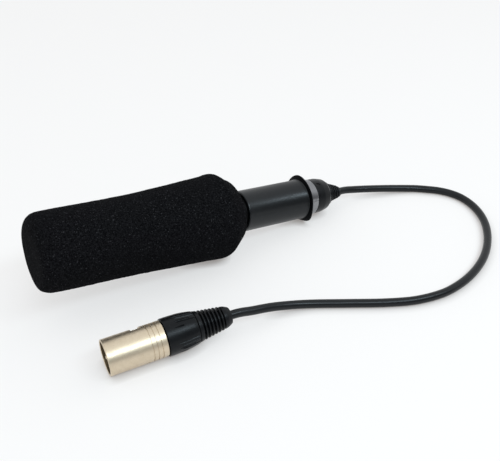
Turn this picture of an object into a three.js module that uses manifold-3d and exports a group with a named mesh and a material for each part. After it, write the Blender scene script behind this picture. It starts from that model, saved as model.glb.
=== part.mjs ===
// Electret microphone: a slotted barrel in a foam windscreen, with a holder sleeve, a short
// cable and a three-pin plug. Millimetres, +Z up, lying as it is left on a table.
// The microphone and the plug are each built along their own X axis, with the cable at +X.

import * as THREE from "three";
import { mergeVertices } from "three/addons/utils/BufferGeometryUtils.js";
import Module from "manifold-3d";

const wasm = await Module();
wasm.setup();

// Air left between two pieces that touch, and under the cable on the table
const seatGap = 0.3;
const tableGap = 0.05;

// Barrel: a slotted front tube and a plain body tube, joined by the capsule housing
const barrelRadius = 10.5;
const barrelWall = 1.0;
const slottedTubeLength = 93;
const bodyTubeLength = 71;
const slotRows = 4;
const slotsPerRow = 6;
const slotWidth = 2.2;
const slotBridge = 4;
const slotEnd = 5;
const clothWall = 0.5;

// Front cap that closes the slotted tube
const frontCapThickness = 2.2;
const frontCapWeb = 1.0;
const frontCapSpigot = 4;
const frontCapRim = 1.3;
const soundHoleRadius = 0.9;
const soundHoleSpacing = 2.9;
const gauzeThickness = 0.3;

// Capsule housing and the parts stacked in it, from the front backwards
const couplingFlange = 1.0;
const housingFront = 6;
const housingRear = 14;
const portRadius = 6;
const pocketRadius = 8;
const pocketLead = 3;
const diaphragmRingThickness = 1.0;
const diaphragmRingBore = 6.6;
const diaphragmThickness = 0.2;
const spacerThickness = 0.4;
const spacerBore = 6.8;
const backPlateRadius = 6.7;
const backPlateThickness = 1.2;
const backPlateHoles = 6;
const backPlateHoleRadius = 0.7;
const backPlateHoleCircle = 4.2;
const insulatorLength = 5;
const contactRadius = 0.8;
const contactTail = 3;
const retainerThickness = 2.5;
const retainerBore = 4.5;

// Amplifier board between two end holders
const holderThickness = 4;
const holderSlotDepth = 3;
const boardThickness = 1.2;
const boardHalfWidth = 8;
const boardTop = -2;
const wireHoleRadius = 3.4;
const wireHoleHeight = 2.6;
const partGap = 1;
const leadReach = 2.6;
const transistorRadius = 2.3;
const transistorHeight = 3.8;
const resistorRadius = 1;
const resistorLength = 6;
const resistorFromHolder = 1.2;
const capacitorRadius = 2.5;
const capacitorHeight = 6.5;
const transformerSize = [11, 11, 8];
const wireRadius = 0.45;
const wireSpread = 1.8;
const conductorLanding = 3.6;

// Foam windscreen
const foamRearRadius = 25.5;
const foamWaistRadius = 22.45;
const foamFrontRadius = 21.6;
const foamLength = 110.5;
const foamFrontFillet = 6;
const foamCrown = 1.6;
const foamShoulder = 11.6;
const foamShoulderFillet = 9;
const foamLipRadius = 16.4;
const foamLipFillet = 2;
const foamSleeveGap = 4.3;

// Holder sleeve with its stop flange
const sleeveRadius = 12.6;
const sleeveLength = 44.9;
const sleeveEdge = 0.5;
const flangeRadius = 15.4;
const flangeSet = 0.4;
const flangeThickness = 0.9;
const flangeEdge = 0.25;

// Label ring and rear cap
const labelRadius = 11.5;
const labelWidth = 7.5;
const labelEdge = 0.3;
const capRadius = 11.2;
const capTaperRadius = 10.3;
const capLength = 9.8;
const capEdge = 2;
const capConeLength = 5.4;
const capNeckRadius = 6.6;
const capSpigot = 6;
const capCavityRadius = 8.2;
const capScrewRadius = 1.1;
const capScrewFromFront = 3;
const capScrewSunk = 0.3;
const capScrewLength = 3;
const capScrewAngle = 0.35;

// Cable and the ribbed boot at the microphone's end
const cableRadius = 2.45;
const cableSides = 10;
const cableSteps = 32;
const bootLength = 10;
const bootRootRadius = 6.1;
const bootTipRadius = 3.4;
const bootNeckRadius = 4.6;
const bootInnerFlange = 7;
const bootInnerThickness = 2.2;
const bootRibs = 4;
const bootRibPitch = 1.9;
const bootRibDepth = 0.7;
const clampRadius = 5.2;
const clampLength = 3.9;
const cableTailInCap = 5.5;

// Plug shell, with its latch window and key rib
const shellRadius = 9.5;
const shellLength = 31.4;
const shellMouthRadius = 8.05;
const shellRearBore = 8.35;
const shellRearDepth = 9.3;
const shellEdge = 0.4;
const grooveDepth = 0.25;
const grooveWidth = 0.8;
const grooveFromRear = [3.5, 6.2];
const windowFromRear = 15.4;
const windowLength = 3.4;
const windowWidth = 5;
const keyWidth = 1.6;
const keyHeight = 0.9;
const keyFromMouth = 1.6;
const plugRoll = Math.PI / 4;

// Plug insert and its three pins
const mouthDepth = 14;
const insertFlange = 2;
const pinRadius = 1.2;
const pinCircle = 3.81;
const pinRecess = 1.6;
const pinTail = 3.8;
const cupRadius = 0.8;
const cupDepth = 2;

// Plug chuck, bushing and ribbed boot
const chuckRadius = 6.9;
const chuckSkirtBore = 6;
const chuckSkirt = 9.7;
const chuckLength = 20.2;
const chuckNoseRadius = 4.8;
const chuckSlit = 1;
const bushingRadius = 10.05;
const bushingRearRadius = 8.3;
const bushingLength = 18.1;
const bushingLead = 3;
const bushingEdge = 0.4;
const bushingSpigot = 5.5;
const bushingWall = 1.8;
const gripPanels = 4;
const gripPanelDepth = 1.25;
const gripPanelFront = 5;
const plugBootStem = 5;
const plugBootFlange = 6;
const plugBootFlangeThickness = 1.8;
const plugBootCollar = 3.4;
const plugBootCollarRadius = 8;
const plugBootRibs = 6;
const plugBootRibPitch = 1.55;
const plugBootRibDepth = 1.2;
const plugBootEndRadius = 5.9;
const plugBootEndLength = 5.2;
const plugBootTipRadius = 4.5;
const plugCableTailFront = 2;

// How the plug lies on the table. The free cable's route between the two boots has places of
// [x, y, lift], with the lift counted from where the cable lies on the table.
const plugPlace = [-59.7, -60.9];
const plugYaw = -0.123;
const cableLead = 6;
const cableRoute = [
  [116.4, -1.2, 4.6], [124.9, -3.8, 3.5], [134.6, -6.9, 2.1], [143, -10, 1],
  [150.9, -13.8, 0.3], [158.1, -18.2, 0], [163.9, -23.3, 0], [169.2, -28.6, 0],
  [173.3, -35, 0], [175.7, -42.9, 0], [175.4, -52.2, 0], [173, -60.7, 0],
  [169.3, -68.3, 0], [164.8, -74.9, 0], [159.4, -81, 0], [153.1, -86.9, 0],
  [145.7, -92.6, 0], [137.2, -97.8, 0], [128.6, -101.8, 0], [120, -104.8, 0],
  [111.3, -106.9, 0], [102.7, -108, 0], [94.7, -108.2, 0], [87, -107.2, 0],
  [79.5, -105.4, 0], [72.2, -102.8, 0], [58.9, -95.9, 0], [42.9, -86, 0],
  [27.2, -76.3, 0.1], [18.9, -72.3, 0.7], [10.9, -69.8, 1.9], [3.2, -68.4, 3.6],
  [-3.8, -67.8, 5.2], [-10.1, -67.2, 6.4],
];

// Facets round a turned piece: seen from outside, hidden, and small
const outerSides = 36;
const innerSides = 20;
const smallSides = 10;
const arcStep = Math.PI / 6;

// Materials
const finish = (color, roughness, metalness = 0) =>
  new THREE.MeshStandardMaterial({ color, roughness, metalness });
const foam = finish(0x17171a, 1);
const sleeveRubber = finish(0x33363a, 0.45);
const blackPlastic = finish(0x1c1d20, 0.5);
const blackRubber = finish(0x232427, 0.6);
const blackMetal = finish(0x202124, 0.4, 0.6);
const labelMetal = finish(0xb9bec4, 0.3, 0.9);
const nickel = finish(0xcdbfa6, 0.28, 0.95);
const brass = finish(0xb08d4a, 0.35, 0.9);
const steel = finish(0xa5a7aa, 0.35, 0.9);
const film = finish(0xd8dade, 0.2, 0.6);
const cloth = finish(0x3a3a3c, 0.95);
const board = finish(0x2f5a3a, 0.6);
const insulator = finish(0xd9d4c6, 0.6);
const cableJacket = finish(0x37383b, 0.5);
const wireRed = finish(0x9c2a26, 0.5);
const wireWhite = finish(0xd8d6d0, 0.5);
const wireBlack = finish(0x222326, 0.5);

// Solids and outlines

function toSolid(geometry) {
  const bare = geometry.clone();
  bare.deleteAttribute("normal");
  bare.deleteAttribute("uv");
  const merged = mergeVertices(bare, 1e-4);
  return new wasm.Manifold(
    new wasm.Mesh({
      numProp: 3,
      vertProperties: merged.attributes.position.array,
      triVerts: new Uint32Array(merged.index.array),
    }),
  );
}

function toGeometry(solid) {
  const mesh = solid.getMesh();
  const geometry = new THREE.BufferGeometry();
  geometry.setAttribute(
    "position",
    new THREE.BufferAttribute(new Float32Array(mesh.vertProperties), 3),
  );
  geometry.setIndex(new THREE.BufferAttribute(new Uint32Array(mesh.triVerts), 1));
  geometry.computeVertexNormals();
  return geometry;
}

const cut = (body, ...tools) =>
  toGeometry(tools.reduce((solid, tool) => solid.subtract(toSolid(tool)), toSolid(body)));

// Rounds an outline's corners: a point is [x, r], or [x, r, fillet radius].
function rounded(points) {
  const outline = [];
  points.forEach(([x, r, fillet], i) => {
    const corner = new THREE.Vector2(x, r);
    if (!fillet) {
      outline.push(corner);
      return;
    }
    const before = new THREE.Vector2(points[i - 1][0], points[i - 1][1]).sub(corner);
    const after = new THREE.Vector2(points[i + 1][0], points[i + 1][1]).sub(corner);
    const angle = Math.abs(before.angleTo(after));
    const reach = Math.min(fillet / Math.tan(angle / 2), before.length(), after.length());
    const start = before.normalize().multiplyScalar(reach).add(corner);
    const end = after.normalize().multiplyScalar(reach).add(corner);
    const radius = reach * Math.tan(angle / 2);
    const middle = start.clone().add(end).multiplyScalar(0.5).sub(corner);
    const centre = middle.setLength(radius / Math.sin(angle / 2)).add(corner);
    const from = start.clone().sub(centre).angle();
    let turn = end.clone().sub(centre).angle() - from;
    if (turn > Math.PI) turn -= 2 * Math.PI;
    if (turn < -Math.PI) turn += 2 * Math.PI;
    const steps = Math.max(1, Math.round(Math.abs(turn) / arcStep));
    for (let k = 0; k <= steps; k++) {
      const at = from + (turn * k) / steps;
      outline.push(new THREE.Vector2(Math.cos(at), Math.sin(at)).multiplyScalar(radius).add(centre));
    }
  });
  return outline;
}

// Turns an outline of [x, r] points about the X axis. An outline off the axis is closed first.
function turned(points, sides = innerSides) {
  const outline = rounded(points);
  if (outline[0].y > 0) outline.push(outline[0].clone());
  const area = outline.reduce((sum, p, i) => {
    const q = outline[(i + 1) % outline.length];
    return sum + p.x * q.y - q.x * p.y;
  }, 0);
  if (area > 0) outline.reverse();
  const lathe = outline.map((p) => new THREE.Vector2(p.y, p.x));
  return new THREE.LatheGeometry(lathe, sides).rotateZ(-Math.PI / 2);
}

const ring = (from, to, bore, radius, sides = innerSides) =>
  turned([[from, bore], [to, bore], [to, radius], [from, radius]], sides);
const disc = (from, to, radius, sides = innerSides) =>
  turned([[from, 0], [from, radius], [to, radius], [to, 0]], sides);

// A box between two X positions, centred on Y, with its middle at height z.
const block = (from, to, width, height, z = 0) =>
  new THREE.BoxGeometry(to - from, width, height).translate((from + to) / 2, 0, z);

// A round post standing along Z from a height.
const post = (x, y, z, radius, height) =>
  new THREE.CylinderGeometry(radius, radius, height, smallSides)
    .rotateX(Math.PI / 2)
    .translate(x, y, z + height / 2);

function tube(points, radius, sides, steps) {
  const path = new THREE.CatmullRomCurve3(
    points.map((p) => new THREE.Vector3(...p)), false, "centripetal",
  );
  const section = new THREE.Shape();
  for (let i = 0; i < sides; i++) {
    const at = (2 * Math.PI * i) / sides;
    section[i ? "lineTo" : "moveTo"](radius * Math.cos(at), radius * Math.sin(at));
  }
  return new THREE.ExtrudeGeometry(section, { steps, extrudePath: path, bevelEnabled: false });
}

function piece(name, geometry, material) {
  const mesh = new THREE.Mesh(geometry, material);
  mesh.name = name;
  return mesh;
}

// Places along the microphone. Zero is where the holder sleeve's tube meets its flange.

const barrelBore = barrelRadius - barrelWall;
const innerRadius = barrelBore - seatGap;
const sleeveBore = barrelRadius + seatGap;
const cableBore = cableRadius + seatGap;
const flangeRear = flangeSet + flangeThickness;
const bodyRear = flangeRear + seatGap + labelWidth;
const bodyFront = bodyRear - bodyTubeLength;
const couplingRear = bodyFront - seatGap;
const couplingFront = couplingRear - couplingFlange;
const slottedRear = couplingFront - seatGap;
const slottedFront = slottedRear - slottedTubeLength;
const frontCapRear = slottedFront - seatGap;
const frontCapFace = frontCapRear - frontCapThickness;
const foamLip = -sleeveLength - foamSleeveGap;
const foamWidest = foamLip - foamShoulder;
const foamFront = foamWidest - foamLength;
const housingEnd = couplingRear + housingRear;
const capFront = bodyRear + seatGap;
const capSpigotFront = capFront - capSpigot;
const capShoulder = capFront + capLength;
const capEnd = capShoulder + capConeLength;
const capWallFront = capShoulder + 1;
const bootFront = capEnd + seatGap;
const bootEnd = bootFront + bootLength;
const bootFlangeFront = capWallFront - seatGap - bootInnerThickness;
const clampRear = bootFlangeFront - seatGap;

// Foam windscreen

const foamOutline = [
  [foamLip, foamLipRadius, foamLipFillet],
  [foamWidest, foamRearRadius, foamShoulderFillet],
  [foamWidest - foamLength / 2, foamWaistRadius],
  [foamFront, foamFrontRadius, foamFrontFillet],
];

function foamWindscreen() {
  const bore = barrelRadius + seatGap;
  const boreEnd = frontCapFace - seatGap;
  return turned([
    [boreEnd, 0],
    [boreEnd, bore],
    [foamLip, bore],
    ...foamOutline,
    [foamFront - foamCrown, 0],
  ], outerSides);
}

// Barrel

function slottedTube() {
  const wall = ring(slottedFront, slottedRear, barrelBore, barrelRadius, outerSides);
  const slot = new THREE.Shape();
  const bridges = (slotsPerRow - 1) * slotBridge;
  const slotLength = (slottedTubeLength - 2 * slotEnd - bridges) / slotsPerRow;
  const half = slotLength / 2 - slotWidth / 2;
  slot.absarc(half, 0, slotWidth / 2, -Math.PI / 2, Math.PI / 2);
  slot.absarc(-half, 0, slotWidth / 2, Math.PI / 2, 1.5 * Math.PI);
  const first = slottedFront + slotEnd + slotLength / 2;
  const cutters = [];
  for (let row = 0; row < slotRows; row++) {
    for (let i = 0; i < slotsPerRow; i++) {
      cutters.push(
        new THREE.ExtrudeGeometry(slot, { depth: barrelRadius, bevelEnabled: false, curveSegments: 3 })
          .translate(first + i * (slotLength + slotBridge), 0, barrelBore / 2)
          .rotateX(((row + 0.5) * 2 * Math.PI) / slotRows),
      );
    }
  }
  return cut(wall, ...cutters);
}

const clothLiner = () => ring(
  frontCapRear + seatGap + frontCapSpigot + 2 * seatGap,
  couplingFront - housingFront - seatGap,
  innerRadius - clothWall,
  innerRadius,
);

const bodyTube = () => ring(bodyFront, bodyRear, barrelBore, barrelRadius, outerSides);

function frontCap() {
  const spigotEnd = frontCapRear + frontCapSpigot;
  const bore = innerRadius - frontCapRim;
  const cup = turned([
    [frontCapFace, 0],
    [frontCapFace, barrelRadius, 0.6],
    [frontCapRear, barrelRadius],
    [frontCapRear, innerRadius],
    [spigotEnd, innerRadius],
    [spigotEnd, bore],
    [frontCapFace + frontCapWeb, bore],
    [frontCapFace + frontCapWeb, 0],
  ]);
  const holes = [];
  for (let i = -2; i <= 2; i++) {
    for (let j = -2; j <= 2; j++) {
      if (Math.abs(i + j) > 2) continue;
      const y = soundHoleSpacing * (i + j / 2);
      const z = soundHoleSpacing * j * Math.sin(Math.PI / 3);
      holes.push(
        disc(frontCapFace - 1, frontCapFace + frontCapWeb + 1, soundHoleRadius, 6).translate(0, y, z),
      );
    }
  }
  return cut(cup, ...holes);
}

const frontGauze = () => disc(
  frontCapFace + frontCapWeb + seatGap,
  frontCapFace + frontCapWeb + seatGap + gauzeThickness,
  innerRadius - frontCapRim - seatGap,
);

// Capsule

const pocketFront = couplingFront - pocketLead;
const diaphragmRingRear = pocketFront + seatGap + diaphragmRingThickness;
const diaphragmFront = diaphragmRingRear + seatGap;
const spacerFront = diaphragmFront + diaphragmThickness + seatGap;
const insulatorFront = spacerFront + spacerThickness + seatGap;
const insulatorRear = insulatorFront + insulatorLength;
const backPlateFront = insulatorFront + seatGap;
const backPlateRear = backPlateFront + backPlateThickness;
const retainerFront = insulatorRear + seatGap;
const stackRadius = pocketRadius - seatGap;
const contactRear = insulatorRear + contactTail;

const capsuleHousing = () => turned([
  [couplingFront - housingFront, portRadius],
  [couplingFront - housingFront, innerRadius],
  [couplingFront, innerRadius],
  [couplingFront, barrelRadius],
  [couplingRear, barrelRadius],
  [couplingRear, innerRadius],
  [housingEnd, innerRadius],
  [housingEnd, pocketRadius],
  [pocketFront, pocketRadius],
  [pocketFront, portRadius],
]);

const diaphragmRing = () =>
  ring(pocketFront + seatGap, diaphragmRingRear, diaphragmRingBore, stackRadius);
const diaphragm = () => disc(diaphragmFront, diaphragmFront + diaphragmThickness, stackRadius);
const spacerRing = () => ring(spacerFront, spacerFront + spacerThickness, spacerBore, stackRadius);

function backPlate() {
  const holes = [];
  for (let i = 0; i < backPlateHoles; i++) {
    holes.push(
      disc(backPlateFront - 1, backPlateRear + 1, backPlateHoleRadius, 6)
        .translate(0, 0, backPlateHoleCircle)
        .rotateX((i * 2 * Math.PI) / backPlateHoles),
    );
  }
  return cut(disc(backPlateFront, backPlateRear, backPlateRadius), ...holes);
}

// A cup that carries the back plate in its front recess and the contact pin in its middle.
function capsuleInsulator() {
  const recess = backPlateRadius + seatGap;
  const pinBore = contactRadius + seatGap;
  return turned([
    [insulatorFront, stackRadius],
    [insulatorRear, stackRadius],
    [insulatorRear, pinBore],
    [backPlateRear + seatGap, pinBore],
    [backPlateRear + seatGap, recess],
    [insulatorFront, recess],
  ]);
}

const contactPin = () => disc(backPlateRear + seatGap, contactRear, contactRadius, smallSides);
const capsuleRetainer = () =>
  ring(retainerFront, retainerFront + retainerThickness, retainerBore, stackRadius);

// Amplifier board

const frontHolderFront = housingEnd + seatGap;
const frontHolderRear = frontHolderFront + holderThickness;
const rearHolderRear = capSpigotFront - seatGap;
const rearHolderFront = rearHolderRear - holderThickness;
const boardFront = frontHolderRear - holderSlotDepth + seatGap;
const boardRear = rearHolderFront + holderSlotDepth - seatGap;
const onBoard = boardTop + seatGap;

// From the front: the capsule lead's end, the transistor between the resistors, the
// capacitors side by side, the transformer, and the conductors' ends before the rear holder.
const leadEnd = frontHolderRear + leadReach;
const transistorPlace = leadEnd + partGap + transistorRadius;
const resistorSide = transistorRadius + partGap + resistorRadius;
const capacitorPlace = transistorPlace + transistorRadius + partGap + capacitorRadius;
const capacitorSide = capacitorRadius + partGap / 2;
const transformerPlace = capacitorPlace + capacitorRadius + partGap + transformerSize[0] / 2;
const conductorEnd = rearHolderFront - conductorLanding;

function boardHolder(from, slotFrom, slotTo) {
  const slot = block(
    slotFrom,
    slotTo,
    2 * (boardHalfWidth + seatGap),
    boardThickness + 2 * seatGap,
    boardTop - boardThickness / 2,
  );
  const wireHole = disc(from - 1, from + holderThickness + 1, wireHoleRadius, smallSides)
    .translate(0, 0, wireHoleHeight);
  return cut(disc(from, from + holderThickness, innerRadius), slot, wireHole);
}

const frontBoardHolder = () =>
  boardHolder(frontHolderFront, frontHolderRear - holderSlotDepth, frontHolderRear + 1);
const rearBoardHolder = () =>
  boardHolder(rearHolderFront, rearHolderFront - 1, rearHolderFront + holderSlotDepth);
const circuitBoard = () => block(
  boardFront, boardRear, 2 * boardHalfWidth, boardThickness, boardTop - boardThickness / 2,
);

function transformer() {
  const [length, width, height] = transformerSize;
  const corner = 1;
  const shape = new THREE.Shape();
  shape.moveTo(-length / 2 + corner, -width / 2);
  shape.lineTo(length / 2 - corner, -width / 2);
  shape.lineTo(length / 2, -width / 2 + corner);
  shape.lineTo(length / 2, width / 2 - corner);
  shape.lineTo(length / 2 - corner, width / 2);
  shape.lineTo(-length / 2 + corner, width / 2);
  shape.lineTo(-length / 2, width / 2 - corner);
  shape.lineTo(-length / 2, -width / 2 + corner);
  return new THREE.ExtrudeGeometry(shape, { depth: height, bevelEnabled: false })
    .translate(transformerPlace, 0, onBoard);
}

const capacitor = (side) =>
  post(capacitorPlace, side * capacitorSide, onBoard, capacitorRadius, capacitorHeight);
const transistor = () => post(transistorPlace, 0, onBoard, transistorRadius, transistorHeight);
const resistor = (side) =>
  disc(0, resistorLength, resistorRadius, 8)
    .translate(frontHolderRear + resistorFromHolder, side * resistorSide, onBoard + resistorRadius);

const wire = (points, steps = 6) => tube(points, wireRadius, 6, steps);

function capsuleLead() {
  const start = contactRear + seatGap;
  return wire([
    [start, 0, 0],
    [start + 1.5, 0, 0.3],
    [frontHolderFront, 0, wireHoleHeight - 1],
    [frontHolderRear, 0, wireHoleHeight - 1],
    [leadEnd, 0, onBoard + wireRadius + 0.6],
    [leadEnd, 0, onBoard],
  ], 9);
}

// Three conductors run from the cable's end through the rear holder to the board.
function conductor(i) {
  const y = (i - 1) * wireSpread;
  const start = clampRear - clampLength - cableTailInCap - seatGap;
  return wire([
    [start, y * 0.6, 0],
    [start - 1.5, y * 0.6, 0],
    [rearHolderRear + 1, y, wireHoleHeight],
    [rearHolderFront - 1, y, wireHoleHeight],
    [conductorEnd + 1, y, onBoard + wireRadius + 0.4],
    [conductorEnd, y, onBoard + wireRadius],
  ], 9);
}

// Holder sleeve, label ring and rear cap

const holderSleeve = () => turned([
  [-sleeveLength, sleeveBore],
  [-sleeveLength, sleeveRadius, sleeveEdge],
  [0, sleeveRadius],
  [flangeSet, sleeveRadius + flangeSet],
  [flangeSet, flangeRadius, flangeEdge],
  [flangeRear, flangeRadius],
  [flangeRear, sleeveBore],
], outerSides);

function labelRing() {
  const front = flangeRear + seatGap;
  return turned([
    [front, sleeveBore],
    [front, labelRadius, labelEdge],
    [bodyRear, labelRadius, labelEdge],
    [bodyRear, sleeveBore],
  ], outerSides);
}

const capScrewPlace = capFront + capScrewFromFront;

function rearCap() {
  const hole = bootNeckRadius + seatGap;
  const cap = turned([
    [capSpigotFront, capCavityRadius],
    [capSpigotFront, innerRadius],
    [capFront, innerRadius],
    [capFront, capRadius, 0.3],
    [capShoulder, capTaperRadius, capEdge],
    [capEnd, capNeckRadius, 0.6],
    [capEnd, hole],
    [capWallFront, hole],
    [capWallFront, capCavityRadius],
  ], outerSides);
  const screwHole = post(capScrewPlace, 0, 0, capScrewRadius + seatGap, capRadius + 1)
    .rotateX(capScrewAngle);
  return cut(cap, screwHole);
}

const capScrew = () =>
  post(capScrewPlace, 0, capRadius - capScrewSunk - capScrewLength, capScrewRadius, capScrewLength)
    .rotateX(capScrewAngle);

// Boots. A rib is a rounded crest, with a groove behind it.

function ribs(start, count, pitch, depth, firstRadius, lastRadius) {
  const outline = [];
  for (let i = 0; i < count; i++) {
    const x = start + i * pitch;
    const crest = firstRadius + ((lastRadius - firstRadius) * i) / Math.max(1, count - 1);
    outline.push(
      [x, crest - depth],
      [x + 0.18 * pitch, crest],
      [x + 0.52 * pitch, crest],
      [x + 0.7 * pitch, crest - depth],
    );
  }
  return outline;
}

function cableBoot() {
  const collar = bootFront + 1;
  const ribsEnd = collar + bootRibs * bootRibPitch;
  return turned([
    [bootFlangeFront, cableBore],
    [bootFlangeFront, bootInnerFlange],
    [bootFlangeFront + bootInnerThickness, bootInnerFlange],
    [bootFlangeFront + bootInnerThickness, bootNeckRadius],
    [bootFront, bootNeckRadius],
    [bootFront, bootRootRadius],
    [collar, bootRootRadius],
    ...ribs(collar + 0.3, bootRibs, bootRibPitch, bootRibDepth, bootRootRadius - 0.4, bootTipRadius + 0.8),
    [ribsEnd + 0.3, bootTipRadius + 0.5],
    [bootEnd, bootTipRadius, 0.4],
    [bootEnd, cableBore],
  ], innerSides);
}

const cableTail = () =>
  disc(clampRear - clampLength - cableTailInCap, bootEnd, cableRadius, smallSides);
const cableClamp = () => ring(clampRear - clampLength, clampRear, cableBore, clampRadius);

// Plug. Zero is the face where the shell meets the bushing.

const mouthFace = -shellLength;
const insertFace = mouthFace + mouthDepth;
const insertRear = -shellRearDepth + seatGap + insertFlange;
const chuckFront = insertRear + seatGap;
const chuckRear = chuckFront + chuckLength;
const bushingFront = seatGap;
const bushingRear = bushingFront + bushingLength;
const plugBootFlangeRear = bushingRear - bushingWall - seatGap;
const plugBootCollarFront = bushingRear + seatGap;
const plugBootRibStart = plugBootCollarFront + plugBootCollar + 0.5;
const plugBootEndFront = plugBootRibStart + plugBootRibs * plugBootRibPitch;
const plugBootEnd = plugBootEndFront + plugBootEndLength;

function plugShell() {
  const outline = [
    [mouthFace, shellMouthRadius, 0.25],
    [mouthFace, shellRadius, shellEdge],
  ];
  [...grooveFromRear].sort((a, b) => b - a).forEach((back) => {
    outline.push(
      [-back - grooveWidth / 2, shellRadius],
      [-back, shellRadius - grooveDepth],
      [-back + grooveWidth / 2, shellRadius],
    );
  });
  outline.push(
    [0, shellRadius, 0.25],
    [0, shellRearBore],
    [-shellRearDepth, shellRearBore],
    [-shellRearDepth, shellMouthRadius],
  );
  const shell = toSolid(turned([[-shellRearDepth, shellMouthRadius], ...outline.slice(0, -1)], outerSides));
  const wall = shellRadius - shellMouthRadius;
  const window = block(-windowFromRear - windowLength / 2, -windowFromRear + windowLength / 2, windowWidth, 3 * wall)
    .translate(0, 0, shellRadius);
  const key = block(mouthFace + keyFromMouth, insertFace - seatGap, keyWidth, keyHeight + wall / 2)
    .translate(0, 0, shellMouthRadius - keyHeight / 2 + wall / 4)
    .rotateX(Math.PI / 2);
  return toGeometry(shell.subtract(toSolid(window)).add(toSolid(key)));
}

// Pin places: two across the latch window's direction and one opposite the window.
const pinAngles = [Math.PI / 2, -Math.PI / 2, Math.PI];
const atPin = (geometry, i) => geometry.translate(0, 0, pinCircle).rotateX(pinAngles[i]);

function plugInsert() {
  const body = turned([
    [insertFace, 0],
    [insertFace, shellMouthRadius - seatGap, 0.4],
    [-shellRearDepth + seatGap, shellMouthRadius - seatGap],
    [-shellRearDepth + seatGap, shellRearBore - seatGap],
    [insertRear, shellRearBore - seatGap],
    [insertRear, 0],
  ]);
  const holes = pinAngles.map((_, i) =>
    atPin(disc(insertFace - 1, insertRear + 1, pinRadius + seatGap, smallSides), i));
  return cut(body, ...holes);
}

function plugPin(i) {
  const tip = mouthFace + pinRecess;
  const rear = insertRear + pinTail;
  return atPin(turned([
    [tip, 0],
    [tip, pinRadius, 0.8],
    [rear, pinRadius],
    [rear, cupRadius],
    [rear - cupDepth, cupRadius],
    [rear - cupDepth, 0],
  ], smallSides), i);
}

// The chuck is a split collet: its skirt bears on the insert and its nose grips the cable.
function plugChuck() {
  const skirtEnd = chuckFront + chuckSkirt;
  const body = turned([
    [chuckFront, chuckSkirtBore],
    [chuckFront, chuckRadius],
    [skirtEnd, chuckRadius],
    [chuckRear - 1, chuckNoseRadius + 0.5],
    [chuckRear, chuckNoseRadius],
    [chuckRear, cableBore],
    [skirtEnd + 4, cableBore],
    [skirtEnd, chuckSkirtBore],
  ]);
  const slitFrom = skirtEnd + 4.5;
  const slits = [0, Math.PI / 2].map((angle) =>
    block(slitFrom, chuckRear + 1, 2 * chuckRadius, chuckSlit).rotateX(angle));
  return cut(body, ...slits);
}

// The bushing screws into the shell and closes the chuck. Flats round it give grip.
function plugBushing() {
  const bore = chuckRadius + seatGap;
  const flangeBore = plugBootFlange + seatGap;
  const rearWall = bushingRear - bushingWall;
  const skirtEnd = chuckFront + chuckSkirt;
  const body = turned([
    [-bushingSpigot, bore],
    [-bushingSpigot, shellRearBore - seatGap],
    [bushingFront, shellRearBore - seatGap],
    [bushingFront, bushingRadius, bushingEdge],
    [bushingFront + bushingLead, bushingRadius],
    [bushingFront + bushingLength / 2, bushingRadius - 0.15],
    [bushingFront + 0.68 * bushingLength, bushingRadius - 0.5],
    [bushingFront + 0.84 * bushingLength, bushingRadius - 0.98],
    [bushingRear, bushingRearRadius, 0.35],
    [bushingRear, plugBootStem + seatGap],
    [rearWall, plugBootStem + seatGap],
    [rearWall, flangeBore],
    [skirtEnd + 6, flangeBore],
    [skirtEnd, bore],
  ], outerSides);
  const taper = Math.atan2(bushingRadius - bushingRearRadius, bushingLength);
  const panels = [];
  for (let i = 0; i < gripPanels; i++) {
    panels.push(
      new THREE.BoxGeometry(bushingLength, 2 * bushingRadius, bushingRadius)
        .translate(bushingLength / 2, 0, bushingRadius / 2)
        .rotateY(taper)
        .translate(bushingFront + gripPanelFront, 0, bushingRadius - gripPanelDepth)
        .rotateX(((i + 0.5) * 2 * Math.PI) / gripPanels),
    );
  }
  return cut(body, ...panels);
}

function plugBoot() {
  const collarRear = plugBootCollarFront + plugBootCollar;
  return turned([
    [plugBootFlangeRear - plugBootFlangeThickness, cableBore],
    [plugBootFlangeRear - plugBootFlangeThickness, plugBootFlange],
    [plugBootFlangeRear, plugBootFlange],
    [plugBootFlangeRear, plugBootStem],
    [plugBootCollarFront, plugBootStem],
    [plugBootCollarFront, plugBootCollarRadius],
    [collarRear, plugBootCollarRadius - 0.25],
    ...ribs(
      plugBootRibStart, plugBootRibs, plugBootRibPitch, plugBootRibDepth,
      plugBootCollarRadius - 0.5, plugBootEndRadius + 0.2,
    ),
    [plugBootEndFront, plugBootEndRadius],
    [plugBootEndFront + 0.4 * plugBootEndLength, plugBootEndRadius - 0.3, 2],
    [plugBootEnd, plugBootTipRadius, 0.6],
    [plugBootEnd, cableBore],
  ], innerSides);
}

const plugCableTail = () => disc(plugCableTailFront, plugBootEnd, cableRadius, smallSides);

// A conductor leaves the cable's end and goes into its pin's solder cup.
function plugConductor(i) {
  const cup = insertRear + pinTail;
  const pin = new THREE.Vector3(0, 0, pinCircle).applyAxisAngle(new THREE.Vector3(1, 0, 0), pinAngles[i]);
  const start = plugCableTailFront - seatGap;
  const inward = 0.35;
  return wire([
    [start, pin.y * inward, pin.z * inward],
    [start - 0.8, pin.y * inward, pin.z * inward],
    [cup + 0.4, pin.y, pin.z],
    [cup - cupDepth + 0.5, pin.y, pin.z],
  ]);
}

// Assembly

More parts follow.
